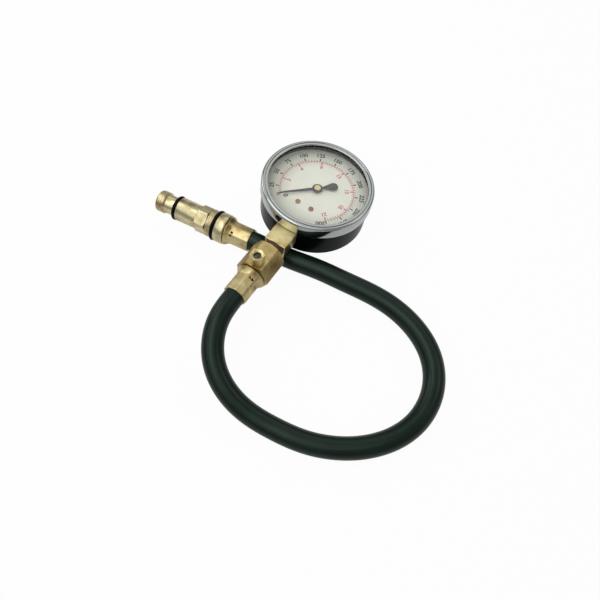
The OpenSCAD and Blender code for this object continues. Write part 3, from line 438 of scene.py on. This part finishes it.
node(tree, "ShaderNodeOutputMaterial", {"Surface": shader.outputs["BSDF"]})
hose.data.materials.append(cured_rubber)
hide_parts("hose")
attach(hose, "root")

# Tee: a length of hexagonal brass bar, drilled and threaded for the gauge, with the hose barb on its
# other end and a port in its upper flat for the release valve. Stations are in mm from the dial's middle.
flat_up = six_sides(90)
neck_hole = [(62.0, 2.0), (61.8, 6.53), (53.0, 6.53), (52.5, 7.0)]
bar = hexagon(low=52.5, high=71.9, width=19.0, angle=flat_up, flat_at=90, worn=0.2)
hose_tail = [(71.9, 5.0), (73.5, 5.0), (73.5, 3.03), (87.4, 3.03), (87.5, 2.0)]
tee = skin("tee_turned", turned(
    gauge_at, stem_along, dial_up, stack(flat_up, neck_hole, bar, hose_tail), flat_up))
# Drawn hexagonal bar: warmer and duller than the turned pieces, with lines along it.
drawn_brass = brass("drawn_brass", "#93734c", "#a8925f", "#bda976", smooth=0.3, coarse=0.38,
                    grain=(57 / 0.5, 0.08, 1), on_turn=True)
tee.data.materials.append(drawn_brass)
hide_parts("tee_body")
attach(tee, "root")

# Release valve: a small hexagonal brass body screwed into the tee, with a recess that guards a sprung
# steel pin. Pressing the pin lifts its seal and lets the air out.
valve_at = gauge_at + 67.2 * stem_along + 9.5 * dial_up
valve_flats = six_sides(60)
shank = [(-3.3, 1.05), (-3.3, 2.4), (-3.1, 2.6), (0.0, 2.6)]
head = hexagon(low=0.0, high=7.0, width=8.0, angle=valve_flats, flat_at=60, coned=False, worn=0.1)
recess = [(7.0, 3.3), (6.9, 3.15), (6.75, 2.65), (6.6, 2.4), (6.2, 1.95), (6.0, 1.9), (6.0, 2.3), (1.0, 2.3),
          (1.0, 1.05)]
valve = skin("release_valve_turned", turned(
    valve_at, dial_up, -stem_along, stack(valve_flats, shank, head, recess), valve_flats))
valve.data.materials.append(plain_brass)
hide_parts("release_body")
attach(valve, "root")
# Dark steel: dark grey and wet-looking, darkened to paint the shade at the bottom of the valve's recess.
steel_painted_recess_shade = grained("steel_painted_recess_shade", "#4a4b4c", 0.5, smooth=0.15, coarse=0.3, sockets={"Metallic": 1.0})
# Painted shade: the pin is dark so that the recess looks dark at its bottom.
dress(steel_painted_recess_shade, "release_pin")
dress(nitrile, "release_seal")
release_coil = coil("release_spring_wound", valve_at, dial_up, -stem_along, low=1.25, high=4.45, r=1.55,
                    wire=0.2)
release_coil.data.materials.append(steel_painted_recess_shade)
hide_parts("release_spring")
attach(release_coil, "root")
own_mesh(release_coil)

# Socket: the gauge's brass block, milled from bar. It comes out of the case and ends in the pipe thread
# that screws into the tee. Inside the case it carries the tube, the movement and the dial.
gauge_right = np.cross(-stem_along, dial_up)


def in_gauge(p):
    """Points in mm to the right of the dial, towards twelve o'clock and along the dial's normal, as places
    in metres."""
    p = np.asarray(p, float)
    return (gauge_at + p[..., :1] * gauge_right - p[..., 1:2] * stem_along + p[..., 2:] * dial_up) / 1000


def block(low, high, soft):
    """A box with rounded edges as a grid: each octant's directions on a ball of the rounding's radius are
    moved out to that octant's corner, and a row at the middle of the top and of the bottom closes it."""
    low, high = np.array(low, float), np.array(high, float)
    quarter = np.radians(np.linspace(0, 90, 5))
    turn = np.add.outer(np.radians([0, 90, 180, 270]), quarter).ravel()
    east = np.repeat([1, -1, -1, 1], 5)
    north = np.repeat([1, 1, -1, -1], 5)
    rise = np.concatenate([quarter - math.pi / 2, quarter])[:, None]
    up = np.repeat([-1, 1], 5)[:, None]
    way = np.stack([np.cos(rise) * np.cos(turn), np.cos(rise) * np.sin(turn), np.sin(rise) + 0 * turn], -1)
    side = np.stack(np.broadcast_arrays(east, north, up), -1)
    grid = (low + high) / 2 + side * ((high - low) / 2 - soft) + soft * way
    lid = np.broadcast_to((low + high) / 2, grid[:1].shape).copy()
    foot = lid.copy()
    lid[..., 2], foot[..., 2] = high[2], low[2]
    return np.concatenate([foot, grid, lid])


def post(x, y, low, high, r):
    """A round post in the gauge's directions, as a grid closed at both ends."""
    ring = np.radians(np.arange(0, 360, 15))
    z, r = np.array([low, low, high, high]), np.array([0, r, r, 0])
    return np.stack(np.broadcast_arrays(
        x + r[:, None] * np.cos(ring), y + r[:, None] * np.sin(ring), z[:, None]), -1)


pipe_thread = thread(low=48.1, high=61.3, crest=6.5, depth=0.75, pitch=1.41, angle=around)
neck = turned(gauge_at, stem_along, dial_up, stack(
    around, [(47.0, 0.0), (47.0, 5.0), (48.0, 5.0), (48.0, 5.6)], pipe_thread, [(61.5, 5.4), (61.5, 0.0)]),
    around)
dial_posts = [in_gauge(post(x, -15.2, low=5, high=6.1, r=2.2)) for x in (-4.8, 4.8)]
case_posts = [in_gauge(post(0, y, low=-12.3, high=-5, r=3)) for y in (-17, -27)]
socket = skin(
    "socket_milled", in_gauge(block((-7, -48, -5.5), (7, -11, 5.5), soft=0.45)),
    in_gauge(block((-7, -12, -5.5), (7, 4, -3.9), soft=0.3)), *dial_posts, *case_posts, neck, shut=False)
socket.data.materials.append(plain_brass)
# Thread sealant and painted shade: a brown paste, slightly shiny, that fills the roots of the neck's thread,
# made dark to paint the shade in the gap between the block and the tee.
sealant_and_gap_shade, tree = finish("thread_sealant_and_painted_shade")
place = node(tree, "ShaderNodeTexCoord")
smear = node(tree, "ShaderNodeTexNoise", {
    "Vector": place.outputs["Object"], "Scale": 1000 / 1.2, "Detail": 3})
tint = node(tree, "ShaderNodeValToRGB", {"Fac": smear.outputs["Fac"]},
            stops=((0.35, "#4a2f28"), (0.65, "#6e5138")))
shader = node(tree, "ShaderNodeBsdfPrincipled", {"Base Color": tint.outputs["Color"], "Roughness": 0.45})
node(tree, "ShaderNodeOutputMaterial", {"Surface": shader.outputs["BSDF"]})
sealant_and_gap_shade_from = 48.05
# Painted shade: the neck from this station on gets the dark sealant brown.
touch_up(socket, sealant_and_gap_shade, lambda p: (p - gauge_at) @ stem_along > sealant_and_gap_shade_from)
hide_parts("socket")
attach(socket, "root")

# Movement: the bent tube with its closed tip, the link, the toothed sector and the pinion between two
# plates, all brass, with steel pins, screws and a hairspring. The dial hides them.
arch = np.radians(np.linspace(-19.157, 256.752, 93))[:, None]
half_turn = np.radians(np.linspace(0, 180, 9))


def oval(r, side):
    """Points on the bent tube at every angle of its arch: its section has two half circles of radius r, 5 mm
    apart along the dial's normal, and its middle is 24 mm from the pinion. Side -1 turns the rows round."""
    out = 24 + r * np.concatenate([np.cos(half_turn), -np.cos(half_turn)])
    z = np.concatenate([2.5 + r * np.sin(half_turn), -2.5 - r * np.sin(half_turn)])
    return np.stack(np.broadcast_arrays(out * np.cos(arch), out * np.sin(arch), z), -1)[::side]


tube_out, tube_in = 1.5, 1.1
tube = skin("bourdon_tube_drawn", in_gauge(np.concatenate([oval(tube_out, 1), oval(tube_in, -1)])))
tube.data.materials.append(plain_brass)
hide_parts("bourdon_tube")
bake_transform(tube)
dress(plain_brass, "tube_tip", "link", "sector_gear", "sector_arbor", "pinion_arbor", "hairspring_collet",
      "hairspring_stud", "movement_back_plate", "movement_front_plate", "movement_pillars")
dress(bright_steel, "hairspring", "tail_pin", "tip_pin", "movement_screws")

# Case: a deep-drawn steel cup, held to the socket by two countersunk screws from behind.
# Its rim carries the gasket and the lens.
# Stoved enamel: gloss black with a cool cast, a faint orange peel and duller scuffs.
black_enamel, tree = finish("stoved_black_enamel")
place = node(tree, "ShaderNodeTexCoord")
orange = node(tree, "ShaderNodeTexNoise", {
    "Vector": place.outputs["Object"], "Scale": 1000 / 1.5, "Detail": 1})
bump = node(tree, "ShaderNodeBump", {"Height": orange.outputs["Fac"], "Strength": 0.06, "Distance": 0.00005})
scuff = node(tree, "ShaderNodeTexNoise", {"Vector": place.outputs["Object"], "Scale": 1000 / 9, "Detail": 4})
rough = node(tree, "ShaderNodeMapRange", {"Value": scuff.outputs["Fac"], "To Min": 0.16, "To Max": 0.3})
shader = node(tree, "ShaderNodeBsdfPrincipled", {
    "Base Color": linear("#070a0a"), "Roughness": rough.outputs["Result"], "Specular IOR Level": 0.08,
    "Specular Tint": linear("#c8fff4"), "Normal": bump.outputs["Normal"]})
node(tree, "ShaderNodeOutputMaterial", {"Surface": shader.outputs["BSDF"]})
dress(black_enamel, "gauge_case")
dress(bright_steel, "case_screws")

# Gasket: a channel of black rubber, moulded, that grips the edge of the lens between the case's rim and the
# chrome ring. The ring's lip hides it from the front.
channel = [(10.8, 32.1), (10.8, 34.45), (13.68, 34.45), (13.68, 31.5), (13.22, 31.5), (13.22, 34.32),
           (11.38, 34.32), (11.38, 32.1)]
rim = np.radians(np.arange(0, 360, 1.5))
gasket = skin("lens_gasket_moulded", turned(gauge_at, dial_up, -stem_along, np.array(channel).T, rim))
gasket.data.materials.append(nitrile)
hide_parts("lens_gasket")
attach(gasket, "root")

# Dial: a thin steel disc enamelled white and printed in black and red, held by two small screws.
# The outer scale runs from 0 to 300 over about three quarters of a turn, from half past seven.
ink_low, ink_high = 6.7, 6.73
sweep_from, sweep, top_mark, rest_at = -142.1, 278.0, 300, -135.0
# Painted shade: the enamel turns grey from 19 to 33 mm out, round a point off the dial's middle, where the
# ring's lip shades it.
painted_shade_middle, painted_shade_from, painted_shade_to = in_gauge((2.5, 1.5, 6.7)).tolist(), 0.019, 0.033
# White dial enamel: warm white and half matt, with painted shade that greys it towards the edge, where the
# ring shades it.
white_print, tree = finish("white_dial_enamel")
place = node(tree, "ShaderNodeTexCoord")
age = node(tree, "ShaderNodeTexNoise", {"Vector": place.outputs["Object"], "Scale": 1000 / 18, "Detail": 3})
tint = node(tree, "ShaderNodeValToRGB", {"Fac": age.outputs["Fac"]},
            stops=((0.3, "#eaece1"), (0.7, "#f0f2e8")))
reach = node(tree, "ShaderNodeVectorMath", {0: place.outputs["Object"], 1: painted_shade_middle}, operation="DISTANCE")
edge = node(tree, "ShaderNodeMapRange", {
    "Value": reach.outputs["Value"], "From Min": painted_shade_from, "From Max": painted_shade_to, "To Min": 0.0,
    "To Max": 1.0})
# Painted shade: the grey mixed in towards the dial's edge.
painted_shade_mix = node(tree, "ShaderNodeMix", {
    0: edge.outputs["Result"], 6: tint.outputs["Color"], 7: linear("#b9beb0")}, data_type="RGBA")
shader = node(tree, "ShaderNodeBsdfPrincipled", {"Base Color": painted_shade_mix.outputs[2], "Roughness": 0.5})
node(tree, "ShaderNodeOutputMaterial", {"Surface": shader.outputs["BSDF"]})
dress(white_print, "dial_plate")
# Bronze: the screw heads are browner than the brass.
bronze = brass("bronze_screw", "#6e4a34", "#8a6247", "#a57d5c", smooth=0.3, coarse=0.4,
               grain=even_grain, on_turn=False)
dress(bronze, "dial_screws")


def strokes(clock, inner, outer, width):
    """Thin printed bars on the dial, one for each clock angle in degrees: boxes from the inner to the outer
    radius, as rows of the four corners below and the four above."""
    a = np.radians(np.asarray(clock, float))[:, None, None]
    r = np.array([inner, outer, outer, inner])[None, None, :]
    across = np.array([-1, -1, 1, 1])[None, None, :] * width / 2
    z = np.array([ink_low, ink_high])[None, :, None]
    x, y = np.sin(a) * r + np.cos(a) * across, np.cos(a) * r - np.sin(a) * across
    return np.stack(np.broadcast_arrays(x, y, z), -1)


def clock_of(parts, whole):
    """Clock angles of marks at parts of the whole scale, without those before the pointer's rest."""
    clock = sweep_from + sweep * np.asarray(parts) / whole
    return clock[clock > rest_at]


def printed(name, bars, words, ink):
    """One mesh of printed bars and figures: each bar is a closed box, and each figure is (text, clock angle,
    radius, height), a flat letter shape with the ink's thickness that reads from the middle of the dial."""
    size_to_height, bolder = 1.38, 0.13
    boxes = np.concatenate(bars)
    corner = np.arange(len(boxes))[:, None, None] * 8
    faces = np.array([(0, 1, 2, 3), (7, 6, 5, 4), (0, 4, 5, 1), (1, 5, 6, 2), (2, 6, 7, 3), (3, 7, 4, 0)])
    mesh = bpy.data.meshes.new(name)
    mesh.from_pydata(in_gauge(boxes.reshape(-1, 3)).tolist(), [], (corner + faces).reshape(-1, 4).tolist())
    work = bmesh.new()
    work.from_mesh(mesh)
    for text, clock, radius, height in words:
        letters = bpy.data.curves.new(name, "FONT")
        letters.body, letters.size = text, height * size_to_height
        letters.extrude, letters.offset = (ink_high - ink_low) / 2, bolder
        letters.align_x, letters.align_y, letters.resolution_u = "CENTER", "CENTER", 3
        shape = bpy.data.objects.new(name, letters)
        flat = bpy.data.meshes.new_from_object(shape)
        p = np.zeros(len(flat.vertices) * 3)
        flat.vertices.foreach_get("co", p)
        p = p.reshape(-1, 3)
        c = math.radians(clock)
        x = p[:, 0] * math.cos(c) + (p[:, 1] + radius) * math.sin(c)
        y = (p[:, 1] + radius) * math.cos(c) - p[:, 0] * math.sin(c)
        z = p[:, 2] + (ink_low + ink_high) / 2
        flat.vertices.foreach_set("co", in_gauge(np.stack([x, y, z], 1)).ravel())
        work.from_mesh(flat)
        bpy.data.objects.remove(shape)
        bpy.data.meshes.remove(flat)
    bmesh.ops.recalc_face_normals(work, faces=work.faces)
    work.to_mesh(mesh)
    work.free()
    mesh.materials.append(ink)
    piece = bpy.data.objects.new(name, mesh)
    bpy.context.scene.collection.objects.link(piece)
    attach(piece, "root")
    return piece


# Dial inks: a soft black and a faded red, both nearly matt.
black_ink = grained("black_dial_ink", "#1d1e1f", 2, smooth=0.4, coarse=0.6)
red_ink = grained("red_dial_ink", "#cb636b", 2, smooth=0.4, coarse=0.6)
marks = np.arange(25, top_mark + 1, 25)
figures = clock_of(marks, top_mark)
black_scale = printed(
    "dial_scale_black",
    [strokes([rest_at, *figures], inner=24.0, outer=26.1, width=0.85),
     strokes(clock_of(np.arange(0, top_mark + 1, 5), top_mark), inner=24.0, outer=25.0, width=0.3)],
    [("0", -139, 20.4, 2.9)] + [(str(m), f, 28.6, 2.9) for m, f in zip(marks[:-1], figures[:-1])]
    + [("300", 144, 25.4, 2.9)], black_ink)
red_marks = clock_of(np.arange(3, 22, 3), 21)
arc = np.linspace(rest_at, sweep_from + sweep, 177)
printed(
    "dial_scale_red",
    [strokes(arc, inner=23.3, outer=23.7, width=0.66),
     strokes(clock_of(np.arange(0, 64), 63), inner=22.2, outer=23.5, width=0.4),
     strokes(red_marks, inner=21.0, outer=23.5, width=0.9)],
    [(str(m), f, 18.9, 2.6) for m, f in zip(range(3, 22, 3), red_marks)], red_ink)

# Pointer: a thin stamped blade with a leaf-shaped tail that balances it. A brass hub presses it on the
# pinion's arbor, and it rests at the start of the scale.
# Blackened blade: a soft black, nearly matt.
black_blade = grained("blackened_pointer", "#191b1a", 0.8, smooth=0.35, coarse=0.5)
dress(black_blade, "pointer")
dress(plain_brass, "pointer_hub")

# Lens: a flat disc of clear acrylic that lies on the gasket under the ring's lip.
# Clear acrylic: colourless, with faint rubbed patches. Shadow rays pass it, so that the dial is lit.
clear_acrylic, tree = finish("clear_acrylic")
light = node(tree, "ShaderNodeLightPath")
open_way = node(tree, "ShaderNodeBsdfTransparent", {"Color": (1, 1, 1, 1)})
place = node(tree, "ShaderNodeTexCoord")
rub = node(tree, "ShaderNodeTexNoise", {"Vector": place.outputs["Object"], "Scale": 1000 / 12, "Detail": 3})
rough = node(tree, "ShaderNodeMapRange", {"Value": rub.outputs["Fac"], "To Min": 0.0, "To Max": 0.05})
shader = node(tree, "ShaderNodeBsdfPrincipled", {
    "Base Color": linear("#fbfaf8"), "Roughness": rough.outputs["Result"], "IOR": 1.49,
    "Transmission Weight": 1.0})
both = node(tree, "ShaderNodeMixShader", {
    0: light.outputs["Is Shadow Ray"], 1: shader.outputs["BSDF"], 2: open_way.outputs["BSDF"]})
node(tree, "ShaderNodeOutputMaterial", {"Surface": both.outputs["Shader"]})
dress(clear_acrylic, "lens")

# Bezel: a ring spun from sheet steel and chromium plated, pushed over the case's rim. Its front has a
# rounded edge, a narrow groove and a rounded lip at the opening. Pairs here are radius and station.
round_out = np.radians(np.linspace(0, 118, 13))
round_in = np.radians(np.linspace(40, 180, 9))


def bend(r, station, size, angle):
    """Pairs on an arc of a size round a middle at a radius and a station."""
    return np.stack([r + size * np.cos(angle), station + size * np.sin(angle)], 1)


ring_profile = np.concatenate([
    [(34.53, 5.8), (35.2, 5.8), (35.5, 5.9), (35.58, 6.1), (35.58, 12.8)],
    bend(34.13, 12.95, 1.45, round_out), [(33.33, 13.75), (33.2, 13.6), (33.12, 13.75), (33.1, 14.0)],
    bend(32.85, 14.1, 0.25, round_in[:3]), [(32.6, 14.33), (32.2, 14.35)],
    bend(31.96, 13.75, 0.6, round_in[3:]), [(31.36, 13.7), (34.53, 13.7)]])
bezel = skin("bezel_spun", turned(
    gauge_at, dial_up, -stem_along, (ring_profile[:, 1], ring_profile[:, 0]), rim), sharp=50)
# Chromium plate: a bright grey mirror, clouded a little by handling.
chrome = grained("chromium_plate", "#acb0ae", 8, smooth=0.06, coarse=0.14, detail=4,
                 sockets={"Metallic": 1.0})
bezel.data.materials.append(chrome)
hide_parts("bezel_ring")
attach(bezel, "root")

# Floor and light: a white studio table under a large soft box and a strip, with weaker boxes at the sides.
# The table is nearly all glow to the camera and half glow in reflections, so it keeps a faint shadow.
floor_half, floor_z = 3.0, -0.0002
seen_glow, mirrored_glow = 0.93, 0.55
floor_mesh = bpy.data.meshes.new("floor")
floor_mesh.from_pydata([(x * floor_half, y * floor_half, floor_z) for x, y in (
    (-1, -1), (1, -1), (1, 1), (-1, 1))], [], [(0, 1, 2, 3)])
floor = bpy.data.objects.new("floor", floor_mesh)
bpy.context.scene.collection.objects.link(floor)
table_white, tree = finish("white_table")
light = node(tree, "ShaderNodeLightPath")
seen = node(tree, "ShaderNodeMath", {
    0: light.outputs["Is Camera Ray"], 1: light.outputs["Is Transmission Ray"]}, operation="MAXIMUM")
bright = node(tree, "ShaderNodeMath", {0: seen.outputs[0], 1: seen_glow}, operation="MULTIPLY")
share = node(tree, "ShaderNodeMath", {
    0: light.outputs["Is Glossy Ray"], 1: mirrored_glow, 2: bright.outputs[0]}, operation="MULTIPLY_ADD")
paint = node(tree, "ShaderNodeBsdfDiffuse", {"Color": linear("#b4b4b4")})
glow = node(tree, "ShaderNodeEmission", {"Color": (1, 1, 1, 1), "Strength": 1.03})
both = node(tree, "ShaderNodeMixShader", {
    0: share.outputs[0], 1: paint.outputs["BSDF"], 2: glow.outputs["Emission"]})
node(tree, "ShaderNodeOutputMaterial", {"Surface": both.outputs["Shader"]})
floor_mesh.materials.append(table_white)
lit_point = np.array([0.02, -0.02, 0.0])
for name, spot, size, power in (
        ("soft_box_above", (-0.16, -0.3, 0.8), (1.15, 1.15), 3.6),
        ("strip_above", (-0.22, -0.16, 0.8), (0.9, 0.2), 1.15),
        ("soft_box_left", (-0.75, 0.1, 0.5), (0.4, 0.4), 0.9),
        ("soft_box_behind", (-0.1, 0.7, 0.75), (0.8, 0.8), 1.3),
        ("soft_box_right", (0.55, 0.5, 0.65), (0.35, 0.35), 0.5)):
    lamp = bpy.data.objects.new(name, bpy.data.lights.new(name, "AREA"))
    lamp.data.shape, lamp.data.energy = "RECTANGLE", power
    lamp.data.size, lamp.data.size_y = size
    lamp.location = spot
    aim = lit_point - np.array(spot)
    level = math.hypot(aim[0], aim[1])
    lamp.rotation_euler = (math.atan2(level, -aim[2]), 0, math.atan2(aim[1], aim[0]) - math.pi / 2)
    bpy.context.scene.collection.objects.link(lamp)
# The room: a tent in grey and white bands by height, for reflections, and plain white to the camera.
world = bpy.data.worlds.new("studio")
world.use_nodes = True
tree = world.node_tree
tree.nodes.clear()
sky = node(tree, "ShaderNodeTexCoord")
height = node(tree, "ShaderNodeSeparateXYZ", {"Vector": sky.outputs["Generated"]})
tent = node(tree, "ShaderNodeValToRGB", {"Fac": height.outputs["Z"]}, stops=(
    (0.02, "#6f716f"), (0.85, "#c4c5c3"), (0.14, "#eaebe9"), (0.3, "#7d7f7d"), (0.5, "#dcdddb")))
shell = node(tree, "ShaderNodeBackground", {"Color": tent.outputs["Color"], "Strength": 0.66})
light = node(tree, "ShaderNodeLightPath")
white = node(tree, "ShaderNodeBackground", {"Color": (1, 1, 1, 1), "Strength": 1.0})
both = node(tree, "ShaderNodeMixShader", {
    0: light.outputs["Is Camera Ray"], 1: shell.outputs["Background"], 2: white.outputs["Background"]})
node(tree, "ShaderNodeOutputWorld", {"Surface": both.outputs["Shader"]})
bpy.context.scene.world = world
bpy.context.scene.view_settings.view_transform = "Standard"
